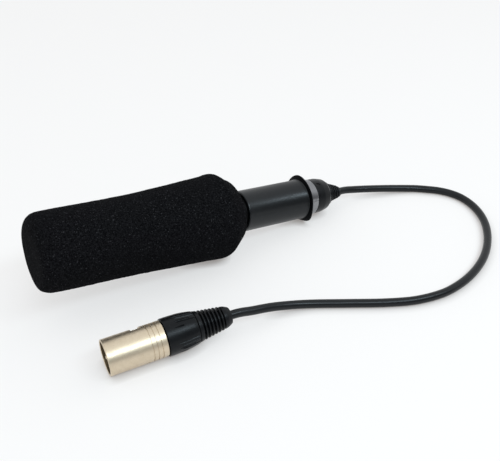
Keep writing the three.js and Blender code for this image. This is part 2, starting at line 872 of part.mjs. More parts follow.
const microphone = new THREE.Group();
microphone.add(
  piece("foam_windscreen", foamWindscreen(), foam),
  piece("slotted_tube", slottedTube(), blackMetal),
  piece("cloth_liner", clothLiner(), cloth),
  piece("body_tube", bodyTube(), blackMetal),
  piece("front_cap", frontCap(), blackMetal),
  piece("front_gauze", frontGauze(), steel),
  piece("capsule_housing", capsuleHousing(), brass),
  piece("diaphragm_ring", diaphragmRing(), brass),
  piece("diaphragm", diaphragm(), film),
  piece("spacer_ring", spacerRing(), insulator),
  piece("back_plate", backPlate(), brass),
  piece("capsule_insulator", capsuleInsulator(), insulator),
  piece("contact_pin", contactPin(), brass),
  piece("capsule_retainer", capsuleRetainer(), brass),
  piece("front_board_holder", frontBoardHolder(), insulator),
  piece("rear_board_holder", rearBoardHolder(), insulator),
  piece("circuit_board", circuitBoard(), board),
  piece("transformer", transformer(), steel),
  piece("capacitor_1", capacitor(1), blackPlastic),
  piece("capacitor_2", capacitor(-1), blackPlastic),
  piece("transistor", transistor(), steel),
  piece("resistor_1", resistor(-1), insulator),
  piece("resistor_2", resistor(1), insulator),
  piece("capsule_lead", capsuleLead(), wireWhite),
  piece("conductor_hot", conductor(0), wireRed),
  piece("conductor_cold", conductor(1), wireWhite),
  piece("conductor_shield", conductor(2), wireBlack),
  piece("holder_sleeve", holderSleeve(), sleeveRubber),
  piece("label_ring", labelRing(), labelMetal),
  piece("rear_cap", rearCap(), blackPlastic),
  piece("cap_screw", capScrew(), steel),
  piece("cable_boot", cableBoot(), blackRubber),
  piece("cable_clamp", cableClamp(), steel),
  piece("cable_tail", cableTail(), cableJacket),
);

const plugFixed = new THREE.Group();
plugFixed.add(
  piece("plug_shell", plugShell(), nickel),
  piece("plug_insert", plugInsert(), blackPlastic),
  piece("plug_pin_1", plugPin(0), nickel),
  piece("plug_pin_2", plugPin(1), nickel),
  piece("plug_pin_3", plugPin(2), nickel),
  piece("plug_chuck", plugChuck(), blackPlastic),
  piece("plug_bushing", plugBushing(), blackPlastic),
  piece("plug_boot", plugBoot(), blackRubber),
  piece("plug_cable_tail", plugCableTail(), cableJacket),
  piece("plug_conductor_1", plugConductor(0), wireRed),
  piece("plug_conductor_2", plugConductor(1), wireWhite),
  piece("plug_conductor_3", plugConductor(2), wireBlack),
);
plugFixed.rotation.x = -plugRoll;

// The microphone rests on the foam's rear shoulder and on the flange, so its front is raised.
const tilt = Math.max(
  ...rounded([[foamLip, barrelRadius], ...foamOutline, [foamFront - foamCrown, 0]]).map((p) =>
    Math.atan2(p.y - flangeRadius, flangeRear - p.x)),
);
microphone.rotation.y = tilt;
microphone.position.z = flangeRadius * Math.cos(tilt) + flangeRear * Math.sin(tilt);
const reach = new THREE.Box3().setFromObject(microphone, true);
microphone.position.x = -(reach.min.x + reach.max.x) / 2;

// The plug lies on its bushing and its shell's rim, so its mouth is a little lower.
const plug = new THREE.Group();
plug.add(plugFixed);
plug.rotation.set(0, -Math.asin((bushingRadius - shellRadius) / shellLength), plugYaw, "ZYX");
plug.position.set(plugPlace[0], plugPlace[1], bushingRadius);

const group = new THREE.Group();
group.add(microphone, plug);
group.updateMatrixWorld(true);

// Free cable: straight out of each boot, and along the table in between.
const along = (object, x) => object.localToWorld(new THREE.Vector3(x, 0, 0)).toArray();
const route = [
  along(microphone, bootEnd + seatGap),
  along(microphone, bootEnd + cableLead),
  ...cableRoute.map(([x, y, lift]) => [x, y, cableRadius + tableGap + lift]),
  along(plug, plugBootEnd + cableLead),
  along(plug, plugBootEnd + seatGap),
];
group.add(piece("cable", tube(route, cableRadius, cableSides, cableSteps), cableJacket));

export default group;
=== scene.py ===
"""Looks of the electret microphone, from its foam windscreen to the plug on its cable.

Every piece is made about its own X axis, with the cable at +X, and is then laid in its place.
Lengths are in millimetres until a mesh is made.
"""

import math

import bmesh
import bpy
from mathutils import Euler, Matrix, Vector, noise


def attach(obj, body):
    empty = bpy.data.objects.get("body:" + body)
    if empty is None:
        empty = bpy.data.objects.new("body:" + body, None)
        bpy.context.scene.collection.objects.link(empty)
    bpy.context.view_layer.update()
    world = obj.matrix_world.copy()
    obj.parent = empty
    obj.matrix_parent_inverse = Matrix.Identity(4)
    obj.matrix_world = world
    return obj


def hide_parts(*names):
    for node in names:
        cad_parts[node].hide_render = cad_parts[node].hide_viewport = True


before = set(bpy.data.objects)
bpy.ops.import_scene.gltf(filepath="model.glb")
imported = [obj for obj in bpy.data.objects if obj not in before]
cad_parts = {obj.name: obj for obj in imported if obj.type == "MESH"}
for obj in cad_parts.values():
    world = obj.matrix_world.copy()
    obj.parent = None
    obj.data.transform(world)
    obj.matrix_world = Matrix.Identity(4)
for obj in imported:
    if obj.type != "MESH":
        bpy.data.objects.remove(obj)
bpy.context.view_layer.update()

MM = 0.001

# Places along the microphone, counted from the sleeve's shoulder, and its radii. They are those
# of the part's source, but for the foam's lip, which is hollow here.
BARREL_FRONT = -159
BARREL_RADIUS = 10.5
BARREL_BORE = 9.5
BODY_TUBE_FRONT = -61.9
SLEEVE_BORE = 10.8
FOAM_LIP = -50
FOAM_WIDEST = -60.8
FOAM_LENGTH = 110.5
FOAM_FRONT = FOAM_WIDEST - FOAM_LENGTH
FOAM_BORE = 10.8
FOAM_REAR_RADIUS = 25.5
FOAM_WAIST_RADIUS = 22.45
FOAM_FRONT_RADIUS = 21.6
SLEEVE_FRONT = -44.9
SLEEVE_RADIUS = 12.6
FLANGE_FRONT = 0.4
FLANGE_REAR = 1.3
FLANGE_RADIUS = 15.4
RING_FRONT = 1.6
RING_REAR = 9.1
RING_RADIUS = 11.5
BOOT_START = 24.9
BOOT_END = 34.9
CABLE_RADIUS = 2.45
CABLE_HOLE = 2.75

# Places along the plug, counted from the joint of its shell and bushing, and its radii. The
# shell's rim and the bushing's rear are a little further in than in the part's source, whose
# rim stands a shell's length in front of the joint.
SHELL_RIM = -30.75
SHELL_LENGTH = 31.4
SHELL_RADIUS = 9.5
SHELL_BORE = 8.05
SHELL_MOUTH = 8.5
BUSHING_FRONT = 0.35
BUSHING_REAR = 17.3
BUSHING_RADIUS = 10.05
PIN_CIRCLE = 3.81
PIN_ANGLES = (math.pi / 2, -math.pi / 2, math.pi)
PLUG_BOOT_END = 37.1

# Where the two lie on the table. The microphone rests on its foam and flange, the plug on its
# bushing and its rim.
MICROPHONE_TILT = math.radians(8.6082)
MICROPHONE = (
    Matrix.Translation((0.0686039, 0, 0.0154211)) @ Matrix.Rotation(MICROPHONE_TILT, 4, "Y"))
PLUG_YAW = -0.123
PLUG_PITCH = -math.asin((BUSHING_RADIUS - SHELL_RADIUS) / SHELL_LENGTH)
PLUG_ROLL = -math.pi / 4
PLUG = (
    Matrix.Translation((-0.0597, -0.0609, BUSHING_RADIUS * MM))
    @ Matrix.Rotation(PLUG_YAW, 4, "Z")
    @ Matrix.Rotation(PLUG_PITCH, 4, "Y")
    @ Matrix.Rotation(PLUG_ROLL, 4, "X")
)


# Outlines and turned pieces


def rounded(points, step=math.radians(9)):
    """An outline of (x, r) or (x, r, fillet radius) points, its fillets made as runs of points."""
    outline = []
    for i, point in enumerate(points):
        corner = Vector(point[:2])
        if len(point) < 3 or not point[2]:
            outline.append(corner)
            continue
        before = Vector(points[i - 1][:2]) - corner
        after = Vector(points[(i + 1) % len(points)][:2]) - corner
        angle = before.angle(after)
        reach = min(point[2] / math.tan(angle / 2), 0.999 * before.length, 0.999 * after.length)
        radius = reach * math.tan(angle / 2)
        start = corner + before.normalized() * reach
        end = corner + after.normalized() * reach
        centre = corner + ((start + end) / 2 - corner).normalized() * radius / math.sin(angle / 2)
        first = math.atan2(start.y - centre.y, start.x - centre.x)
        turn = math.atan2(end.y - centre.y, end.x - centre.x) - first
        turn = (turn + math.pi) % (2 * math.pi) - math.pi
        count = max(2, round(abs(turn) / step))
        for k in range(count + 1):
            at = first + turn * k / count
            outline.append(centre + radius * Vector((math.cos(at), math.sin(at))))
    return outline


def lay(name, mesh, place, finish):
    """Puts a mesh made about its own X axis in its place, which goes into its points."""
    mesh.transform(place)
    mesh.materials.clear()
    mesh.materials.append(finish)
    piece = bpy.data.objects.new(name, mesh)
    bpy.context.scene.collection.objects.link(piece)
    return piece


def rest_on_table(piece):
    """Flattens a soft piece where it presses on the table."""
    for vertex in piece.data.vertices:
        vertex.co.z = max(0, vertex.co.z)


def soften(mesh, angle=32):
    """Shades a mesh smooth, except over edges sharper than an angle in degrees."""
    mesh.shade_smooth()
    mesh.set_sharp_from_angle(angle=math.radians(angle))


def turned(name, points, sides=96, angle=32):
    """Turns an outline in millimetres about X. An outline off the axis comes back to its start."""
    outline = rounded(points)
    shape = bmesh.new()
    rings = []
    for x, r in outline:
        if r < 1e-6:
            rings.append([shape.verts.new((x * MM, 0, 0))])
            continue
        angles = [2 * math.pi * k / sides for k in range(sides)]
        rings.append([
            shape.verts.new((x * MM, r * MM * math.sin(a), r * MM * math.cos(a))) for a in angles])
    pairs = list(zip(rings, rings[1:]))
    if outline[0].y > 1e-6:
        pairs.append((rings[-1], rings[0]))
    for a, b in pairs:
        for k in range(sides):
            n = (k + 1) % sides
            if len(a) == 1 and len(b) == 1:
                continue
            if len(a) == 1:
                shape.faces.new((a[0], b[k], b[n]))
            elif len(b) == 1:
                shape.faces.new((a[k], b[0], a[n]))
            else:
                shape.faces.new((a[k], b[k], b[n], a[n]))
    bmesh.ops.recalc_face_normals(shape, faces=shape.faces)
    mesh = bpy.data.meshes.new(name)
    shape.to_mesh(mesh)
    shape.free()
    soften(mesh, angle)
    return mesh


def block(name, size, round_by):
    """A box of size (x, y, z) in millimetres about the origin, with rounded edges."""
    shape = bmesh.new()
    bmesh.ops.create_cube(shape, size=1)
    bmesh.ops.scale(shape, vec=[s * MM for s in size], verts=shape.verts)
    bmesh.ops.bevel(
        shape, geom=shape.edges[:], offset=round_by * MM, segments=3, profile=0.5, affect="EDGES")
    mesh = bpy.data.meshes.new(name)
    shape.to_mesh(mesh)
    shape.free()
    return mesh


def at_angle(turn, x=0.0, out=0.0):
    """The place of a tool at a turn about the axis, with its millimetres along and out from it."""
    return Matrix.Rotation(turn, 4, "X") @ Matrix.Translation((x * MM, 0, out * MM))


def joined_by(mesh, tools, operation, angle=32):
    """Cuts tool meshes, each with its own matrix, from a mesh, or joins them to it."""
    work = bpy.data.objects.new("work", mesh)
    helpers = [work]
    bpy.context.scene.collection.objects.link(work)
    for tool, place in tools:
        tool.transform(place)
        helper = bpy.data.objects.new("tool", tool)
        bpy.context.scene.collection.objects.link(helper)
        step = work.modifiers.new("join", "BOOLEAN")
        step.operation = operation
        step.solver = "EXACT"
        step.object = helper
        helpers.append(helper)
    bpy.context.view_layer.update()
    shaped = bpy.data.meshes.new_from_object(
        work.evaluated_get(bpy.context.evaluated_depsgraph_get()))
    for helper in helpers:
        bpy.data.objects.remove(helper)
    soften(shaped, angle)
    return shaped


def ribbed(start, count, pitch, depth, first, last):
    """Outline points of a row of rounded crests, each with a groove behind it."""
    points = []
    for i in range(count):
        x = start + i * pitch
        crest = first + (last - first) * i / max(1, count - 1)
        points += [
            (x, crest - depth, 0.1 * pitch),
            (x + 0.1 * pitch, crest, 0.16 * pitch),
            (x + 0.48 * pitch, crest, 0.16 * pitch),
            (x + 0.58 * pitch, crest - depth, 0.1 * pitch),
        ]
    return points


# Materials


def effect(name, inputs, outputs):
    """An empty node group with named value inputs and outputs."""
    group = bpy.data.node_groups.new(name, "ShaderNodeTree")
    for label, default in inputs.items():
        socket = group.interface.new_socket(label, in_out="INPUT", socket_type="NodeSocketFloat")
        socket.default_value = default
    for label in outputs:
        group.interface.new_socket(label, in_out="OUTPUT", socket_type="NodeSocketFloat")
    return group, group.nodes.new("NodeGroupInput"), group.nodes.new("NodeGroupOutput")


def put(tree, socket, value):
    """Links a value from another node to a socket, or sets the socket to a number."""
    if hasattr(value, "links"):
        tree.links.new(value, socket)
    else:
        socket.default_value = value


def texture(tree, kind, scale, vector, **values):
    """A noise or cell pattern, as a value over the surface."""
    node = tree.nodes.new("ShaderNodeTex" + kind)
    put(tree, node.inputs["Scale"], scale)
    put(tree, node.inputs["Vector"], vector)
    for label, value in values.items():
        node.inputs[label].default_value = value
    return node.outputs["Distance" if kind == "Voronoi" else "Fac"]


def spread(tree, value, low, high, to_low=0.0, to_high=1.0):
    """Stretches a value from one range to another, and holds it within the new one."""
    node = tree.nodes.new("ShaderNodeMapRange")
    for label, number in (
        ("Value", value), ("From Min", low), ("From Max", high),
        ("To Min", to_low), ("To Max", to_high),
    ):
        put(tree, node.inputs[label], number)
    return node.outputs["Result"]


def arithmetic(tree, operation, a, b=0.0):
    node = tree.nodes.new("ShaderNodeMath")
    node.operation = operation
    put(tree, node.inputs[0], a)
    put(tree, node.inputs[1], b)
    return node.outputs[0]


def surface_point(tree):
    """The place on the piece, so that a pattern stays on it when it moves."""
    return tree.nodes.new("ShaderNodeTexCoord").outputs["Object"]


def make_handling_marks():
    """Handling marks: a soft patchy mask and fine specks of dust."""
    group, given, out = effect(
        "handling_marks", {"Patch Scale": 60.0, "Speck Scale": 1500.0}, ("Patches", "Specks"))
    where = surface_point(group)
    patch_scale, speck_scale = given.outputs["Patch Scale"], given.outputs["Speck Scale"]
    patches = texture(group, "Noise", patch_scale, where, Detail=4.0, Roughness=0.6)
    specks = texture(group, "Noise", speck_scale, where, Detail=1.0)
    put(group, out.inputs["Patches"], spread(group, patches, 0.35, 0.7))
    put(group, out.inputs["Specks"], spread(group, specks, 0.68, 0.76))
    return group


def make_moulded_grain():
    """Fine moulded grain as a height from 0 to 1."""
    group, given, out = effect("moulded_grain", {"Scale": 2500.0}, ("Height",))
    where = surface_point(group)
    cells = texture(group, "Voronoi", given.outputs["Scale"], where)
    cloud = texture(group, "Noise", given.outputs["Scale"], where, Detail=3.0)
    put(group, out.inputs["Height"], arithmetic(group, "MULTIPLY", cells, cloud))
    return group


HANDLING_MARKS = make_handling_marks()
MOULDED_GRAIN = make_moulded_grain()


def material(name, color, roughness, metallic=0.0, **sockets):
    """A material with its shader's sockets set. Further sockets are named with _ for a space."""
    made = bpy.data.materials.new(name)
    made.use_nodes = True
    shader = made.node_tree.nodes["Principled BSDF"]
    shader.inputs["Base Color"].default_value = (*color, 1)
    shader.inputs["Roughness"].default_value = roughness
    shader.inputs["Metallic"].default_value = metallic
    for label, value in sockets.items():
        shader.inputs[label.replace("_", " ")].default_value = value
    made.diffuse_color = (*color, 1)
    return made, made.node_tree, shader


def placed(tree, group, **values):
    """An effect placed in a material, with its own values."""
    node = tree.nodes.new("ShaderNodeGroup")
    node.node_tree = group
    for label, value in values.items():
        node.inputs[label.replace("_", " ")].default_value = value
    return node


def tint(tree, mask, first, second):
    """The first colour where the mask is 0, and the second where it is 1."""
    node = tree.nodes.new("ShaderNodeMix")
    node.data_type = "RGBA"
    put(tree, node.inputs["Factor"], mask)
    for socket, color in zip((node.inputs[6], node.inputs[7]), (first, second)):
        put(tree, socket, color if hasattr(color, "links") else (*color, 1))
    return node.outputs[2]


def raised(tree, height, distance, strength=1.0):
    """The normal of a surface with a fine relief, whose distance is in metres."""
    node = tree.nodes.new("ShaderNodeBump")
    node.inputs["Strength"].default_value = strength
    node.inputs["Distance"].default_value = distance
    put(tree, node.inputs["Height"], height)
    return node.outputs["Normal"]


def satin(name, color, worn, roughness, grain_scale=2500.0, grain=0.00004, patch_scale=60.0,
          metallic=0.0, dust=0.0, **sockets):
    """A moulded or painted finish: fine grain, handling marks in tone and gloss, a little dust."""
    made, tree, shader = material(name, color, roughness, metallic, **sockets)
    marks = placed(tree, HANDLING_MARKS, Patch_Scale=patch_scale)
    tone = tint(tree, marks.outputs["Patches"], color, worn)
    if dust:
        pale = tuple(min(1, c + dust) for c in color)
        tone = tint(tree, marks.outputs["Specks"], tone, pale)
    put(tree, shader.inputs["Base Color"], tone)
    put(tree, shader.inputs["Roughness"],
        spread(tree, marks.outputs["Patches"], 0, 1, roughness, roughness + 0.08))
    grains = placed(tree, MOULDED_GRAIN, Scale=grain_scale)
    put(tree, shader.inputs["Normal"], raised(tree, grains.outputs["Height"], grain))
    return made


def make_foam():
    """Open-cell foam: pores darkened with painted shade between fine struts, a few with a painted
    glint.
    """
    made, tree, shader = material(
        "foam_cells", (0.005, 0.005, 0.0055), 0.95, Specular_IOR_Level=0.02)
    where = surface_point(tree)
    cells = texture(tree, "Voronoi", 1500.0, where)
    tufts = texture(tree, "Noise", 900.0, where, Detail=4.0, Roughness=0.75)
    height = arithmetic(tree, "ADD", arithmetic(tree, "MULTIPLY", cells, 0.7), tufts)
    # Painted shade darkens the pores, and painted glints brighten a few specks, both in the base
    # colour
    pore_painted_shade, strut, painted_glint_colour = (0.002, 0.002, 0.0025), (0.009, 0.0091, 0.0101), (0.033, 0.033, 0.036)
    base = tint(tree, spread(tree, height, 0.68, 1.05), pore_painted_shade, strut)
    painted_glint_mask = spread(tree, texture(tree, "Noise", 1300.0, where, Detail=0.0), 0.7, 0.82)
    put(tree, shader.inputs["Base Color"], tint(tree, painted_glint_mask, base, painted_glint_colour))
    put(tree, shader.inputs["Normal"], raised(tree, height, 0.0005, 0.9))
    return made


def make_nickel(name, color, worn, specks, roughness):
    """Warm satin nickel, turned: fine rings round the plug's axis under faint handling marks."""
    made, tree, shader = material(name, color, roughness, 1.0)
    along_plug = tree.nodes.new("ShaderNodeMapping")
    along_plug.vector_type = "TEXTURE"
    along_plug.inputs["Location"].default_value = PLUG.to_translation()
    along_plug.inputs["Rotation"].default_value = PLUG.to_euler()
    along_plug.inputs["Scale"].default_value = (1, 50, 50)
    put(tree, along_plug.inputs["Vector"], surface_point(tree))
    rings = texture(tree, "Noise", 9000.0, along_plug.outputs["Vector"], Detail=2.0)
    marks = placed(tree, HANDLING_MARKS, Patch_Scale=420.0, Speck_Scale=2600.0)
    tone = tint(tree, marks.outputs["Patches"], color, worn)
    put(tree, shader.inputs["Base Color"], tint(tree, marks.outputs["Specks"], tone, specks))
    put(tree, shader.inputs["Roughness"],
        spread(tree, marks.outputs["Patches"], 0, 1, roughness, roughness + 0.08))
    put(tree, shader.inputs["Normal"], raised(tree, rings, 0.00001, 0.5))
    return made


# The sheen of the black pieces, a little bluer than their light
COOL = (0.93, 0.97, 1, 1)

# Drawn and turned metal has the finest grain and small handling marks
MACHINED = {"grain_scale": 3000, "grain": 0.00001, "patch_scale": 90.0}

FOAM = make_foam()
NICKEL = make_nickel(
    "satin_nickel", (0.7, 0.6, 0.455), (0.645, 0.545, 0.405), (0.5, 0.41, 0.29), 0.37)
# A dark copy of the nickel for the bore: painted shade inside the shell's mouth
NICKEL_PAINTED_SHADE = make_nickel(
    "nickel_painted_shade", (0.13, 0.1, 0.06), (0.18, 0.14, 0.085), (0.25, 0.2, 0.12), 0.5)
SLEEVE_RUBBER = satin(
    "sleeve_rubber", (0.0018, 0.0024, 0.003), (0.0026, 0.0034, 0.0042), 0.28,
    grain_scale=1800, grain=0.00002, dust=0.012, Specular_IOR_Level=0.38, Specular_Tint=COOL)
FLANGE_RUBBER = satin(
    "flange_rubber", (0.0018, 0.0022, 0.0026), (0.0026, 0.0031, 0.0037), 0.6,
    grain_scale=1800, grain=0.00003, dust=0.01, Specular_IOR_Level=0.04)
BLACK_PLASTIC = satin(
    "black_plastic", (0.0022, 0.0026, 0.0032), (0.0034, 0.004, 0.0048), 0.29,
    grain=0.00002, dust=0.01, Specular_IOR_Level=0.19, Specular_Tint=COOL)
BLACK_RUBBER = satin(
    "black_rubber", (0.0026, 0.003, 0.0035), (0.004, 0.0046, 0.0054), 0.33,
    grain=0.00003, dust=0.01, Specular_IOR_Level=0.19, Specular_Tint=COOL)
CABLE_JACKET = satin(
    "cable_jacket", (0.0042, 0.0046, 0.0052), (0.0058, 0.0063, 0.007), 0.27,
    grain_scale=2200, grain=0.00002, Specular_IOR_Level=0.28, Specular_Tint=COOL)
LABEL_SILVER = satin(
    "label_silver", (0.26, 0.265, 0.275), (0.2, 0.205, 0.215), 0.17, metallic=1.0, **MACHINED)
BLACK_METAL = satin(
    "black_metal", (0.003, 0.003, 0.0033), (0.0045, 0.0045, 0.005), 0.4,
    grain_scale=2600, grain=0.00002, Specular_IOR_Level=0.1)
BRASS = satin(
    "turned_brass", (0.5, 0.34, 0.12), (0.42, 0.27, 0.09), 0.3, metallic=1.0, **MACHINED)
STEEL = satin(
    "satin_steel", (0.42, 0.42, 0.43), (0.34, 0.34, 0.35), 0.3, metallic=1.0, **MACHINED)
DARK_STEEL = satin(
    "dark_steel", (0.05, 0.05, 0.052), (0.04, 0.04, 0.042), 0.4, metallic=1.0, **MACHINED)
INSULATOR = satin("pale_insulator", (0.62, 0.58, 0.5), (0.56, 0.52, 0.44), 0.5)
BOARD_GREEN = satin("board_green", (0.03, 0.12, 0.05), (0.04, 0.14, 0.06), 0.4)
LINER_CLOTH = satin(
    "liner_cloth", (0.03, 0.03, 0.031), (0.04, 0.04, 0.041), 0.9, grain_scale=1500, grain=0.0002)
FILM = satin(
    "capsule_film", (0.6, 0.62, 0.65), (0.56, 0.58, 0.6), 0.2, metallic=0.6, **MACHINED)
INSERT_BROWN = satin("insert_brown", (0.03, 0.025, 0.016), (0.04, 0.033, 0.022), 0.4)
WIRES = {
    "red": satin("wire_red", (0.35, 0.02, 0.018), (0.3, 0.02, 0.018), 0.35),
    "white": satin("wire_white", (0.7, 0.69, 0.65), (0.62, 0.61, 0.57), 0.35),
    "black": satin("wire_black", (0.012, 0.012, 0.013), (0.018, 0.018, 0.02), 0.35),
}


# Foam windscreen


def smooth_step(value, low, high):
    """0 below the low value, 1 above the high one, and a smooth rise between them."""
    t = min(1, max(0, (value - low) / (high - low)))
    return t * t * (3 - 2 * t)


def foam_outline():
    """The foam's outline, with even rings along its outer skin that can be moved one by one."""
    half = FOAM_LENGTH / 2
    to_waist = FOAM_REAR_RADIUS - FOAM_WAIST_RADIUS
    to_front = FOAM_WAIST_RADIUS - FOAM_FRONT_RADIUS
    wall = [
        (half * t, FOAM_REAR_RADIUS - to_waist * (1.12 * t - 0.12 * t * t))
        for t in (0.2, 0.4, 0.6, 0.8, 1)]
    wall += [
        (half * (1 + t), FOAM_WAIST_RADIUS - to_front * (1.15 * t - 0.15 * t * t))
        for t in (0.2, 0.4, 0.6, 0.8)]
    smooth = rounded([
        (BARREL_FRONT - 0.3, 0),
        (BARREL_FRONT - 0.3, FOAM_BORE),
        (FOAM_LIP - 6.5, FOAM_BORE, 2),
        (FOAM_LIP - 0.2, 15.4, 0.4),
        (FOAM_LIP, 17.3, 1.2),
        (FOAM_WIDEST, FOAM_REAR_RADIUS, 9),
        *[(FOAM_WIDEST - s, r) for s, r in wall],
        (FOAM_FRONT, FOAM_FRONT_RADIUS, 8),
        (FOAM_FRONT - 1.1, 12),
        (FOAM_FRONT - 1.6, 0),
    ], math.radians(6))
    ring_spacing = 1.1
    rings = []
    for a, b in zip(smooth, smooth[1:]):
        outer = min(a.y, b.y) > FOAM_BORE + 0.1 or min(a.x, b.x) < FOAM_FRONT + 1
        count = max(1, math.ceil((b - a).length / ring_spacing)) if outer else 1
        rings += [tuple(a.lerp(b, k / count)) for k in range(count)]
    rings.append(tuple(smooth[-1]))
    return rings


def pushed_on(at):
    """Where a point of the foam's skin goes, for lumps, pores and the way a hand has left it."""
    x, y, z = at / MM
    r = math.hypot(y, z)
    out = Vector((0, y, z)) / r if r > 4 else Vector((-1, 0, 0))

    # Waves a few centimetres long, smaller ones of a few millimetres, and pores of about one
    lumps = noise.noise(at * 45) * 0.26 + noise.noise(at * 160) * 0.12
    pores = noise.noise(at * 900) * 0.13
    clear_of_barrel = min(1, max(0, (r - 11) / 4)) if x > FOAM_WIDEST else 1

    # The cone behind the widest place is fuller on the far side, most of all at the lip
    around = math.atan2(y, z)
    far_side = max(0, math.cos(around - math.radians(55))) ** 2
    cone = smooth_step(x, FOAM_WIDEST - 8, FOAM_WIDEST + 5) * smooth_step(r, 11.5, 16)
    fullness = cone * (1.3 + 1.3 * smooth_step(x, FOAM_LIP - 5, FOAM_LIP - 1))

    # The front corner is squarer on the near side
    near_side = max(0, math.cos(around + math.radians(125))) ** 2
    corner = math.exp(-((x - FOAM_FRONT - 2) ** 2 + (r - 19.4) ** 2) / 24)
    square = (out * -0.25 + Vector((-1, 0, 0))) * 1.9 * near_side * corner

    # The front end sits a little askew: its upper half leans forwards, and all of it is lifted
    askew = 1 - smooth_step(x, FOAM_FRONT, FOAM_FRONT + 40)
    lean = Vector((-1.1 * max(0, z + 8) / 21 * askew ** 2, 0, 0.4 * askew))
    skin = out * ((lumps + pores) * clear_of_barrel + far_side * fullness)
    return at + (skin + square + lean) * MM


def foam_windscreen():
    """A long foam sleeve that narrows forwards."""
    mesh = turned("foam_windscreen", foam_outline(), 180, 60)
    for vertex in mesh.vertices:
        in_bore = math.hypot(vertex.co.y, vertex.co.z) < (FOAM_BORE + 0.2) * MM
        if not (in_bore and vertex.co.x > (FOAM_FRONT + 2) * MM):
            vertex.co = pushed_on(vertex.co.copy())
    piece = lay("windscreen_foam", mesh, MICROPHONE, FOAM)
    rest_on_table(piece)
    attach(piece, "windscreen")
    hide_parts("foam_windscreen")


foam_windscreen()


# Barrel, holder sleeve, label ring, rear cap and its boot


def on_microphone(name, mesh, finish, slot, *nodes):
    piece = lay(name, mesh, MICROPHONE, finish)
    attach(piece, "microphone")
    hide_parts(*nodes)
    return piece


on_microphone(
    "barrel_body",
    turned("body_tube", [
        (BODY_TUBE_FRONT, BARREL_BORE), (BODY_TUBE_FRONT, BARREL_RADIUS, 0.2),
        (RING_REAR, BARREL_RADIUS), (RING_REAR, BARREL_BORE),
    ]),
    BLACK_METAL, "black_metal", "body_tube")


def holder_sleeve():
    """The rubber sleeve. Its thin flange is bent rearwards by the table, and on the far side."""
    root = 13.0
    across = [13.5, 14.0, 14.5, 15.0]
    mesh = turned("holder_sleeve", [
        (SLEEVE_FRONT, SLEEVE_BORE, 0.2), (SLEEVE_FRONT, SLEEVE_RADIUS, 1.1),
        (-0.15, SLEEVE_RADIUS), (0.05, SLEEVE_RADIUS + 0.08), (FLANGE_FRONT, root, 0.2),
        *[(FLANGE_FRONT, r) for r in across],
        (FLANGE_FRONT, FLANGE_RADIUS, 0.3), (FLANGE_REAR, FLANGE_RADIUS, 0.25),
        *[(FLANGE_REAR, r) for r in reversed(across)],
        (FLANGE_REAR, root), (FLANGE_REAR, SLEEVE_BORE, 0.2),
    ], 144)
    for vertex in mesh.vertices:
        x, y, z = vertex.co / MM
        reach = max(0, math.hypot(y, z) - root) / (FLANGE_RADIUS - root)
        if x < FLANGE_FRONT - 0.2 or reach == 0:
            continue
        at = math.atan2(y, z)
        below = max(0, math.cos(at - math.radians(190))) ** 2
        far_side = max(0, math.cos(at - math.radians(60))) ** 2
        bend = 4.3 * below * reach ** 1.2 + 2.2 * far_side * reach ** 0.9
        vertex.co.x += bend * MM
        vertex.co.z += 0.45 * below * reach * MM
    flange = [face.index for face in mesh.polygons if face.center.x > FLANGE_FRONT / 2 * MM]
    sleeve = on_microphone("sleeve", mesh, SLEEVE_RUBBER, "sleeve_rubber", "holder_sleeve")
    rest_on_table(sleeve)
    sleeve.data.materials.append(FLANGE_RUBBER)
    for face in flange:
        sleeve.data.polygons[face].material_index = 1


holder_sleeve()

on_microphone(
    "silver_ring",
    turned("label_ring", [
        (RING_FRONT, SLEEVE_BORE), (RING_FRONT, RING_RADIUS, 0.3),
        (RING_REAR, RING_RADIUS, 0.3), (RING_REAR, SLEEVE_BORE),
    ], 144),
    LABEL_SILVER, "label_metal", "label_ring")


def rear_cap():
    """The crowned rear cap, with a small grub screw in a hole in its side."""
    cap = turned("rear_cap", [
        (3.4, 8.2), (3.4, 9.2), (9.4, 9.2), (9.4, 11.2, 0.35), (15.2, 11.1, 6), (20, 10.1, 2),
        (21.4, 8.9, 0.4), (21.4, 4.9), (20.2, 4.9), (20.2, 8.2),
    ], 128)
    drill = turned("screw_hole", [(8, 0), (8, 1.4), (13, 1.4), (13, 0)], 32)
    screw_along, screw_turn = 12.4, 0.35
    screw_place = (
        Matrix.Translation((screw_along * MM, 0, 0)) @ Matrix.Rotation(screw_turn, 4, "X")
        @ Matrix.Rotation(-math.pi / 2, 4, "Y"))
    cap = joined_by(cap, [(drill, screw_place)], "DIFFERENCE")
    on_microphone("cap", cap, BLACK_PLASTIC, "black_plastic", "rear_cap")
    screw = turned("cap_screw", [
        (7.9, 0), (7.9, 1.1), (10.8, 1.1, 0.15), (10.8, 0.55), (10, 0.55), (10, 0)], 24)
    screw.transform(screw_place)
    on_microphone("cap_grub_screw", screw, DARK_STEEL, "steel", "cap_screw")


rear_cap()


def droop(x):
    """How far the cable's weight bends the soft boot down, in millimetres."""
    return 0.85 * (max(0, x - BOOT_START) / (BOOT_END - BOOT_START)) ** 1.6


def cable_boot():
    """The boot: a flange inside the cap, two ribs that carry on the cap's taper, then four more."""
    mesh = turned("cable_boot", [
        (17.7, CABLE_HOLE), (17.7, 7), (19.9, 7), (19.9, 4.6), (21.5, 4.6), (21.5, 8.3, 0.2),
        *ribbed(21.7, 2, 2, 0.9, 8.4, 7), *ribbed(25.7, 4, 2, 1.1, 6.1, 4.5),
        (33.8, 3.9, 0.2), (BOOT_END, 3.5, 0.4), (BOOT_END, CABLE_HOLE),
    ])
    for vertex in mesh.vertices:
        vertex.co.z -= droop(vertex.co.x / MM) * MM
    on_microphone("boot_ribbed", mesh, BLACK_RUBBER, "black_rubber", "cable_boot")


cable_boot()


# Plug


def on_plug(name, mesh, finish, body, slot, *nodes):
    piece = lay(name, mesh, PLUG, finish)
    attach(piece, body)
    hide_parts(*nodes)
    return piece


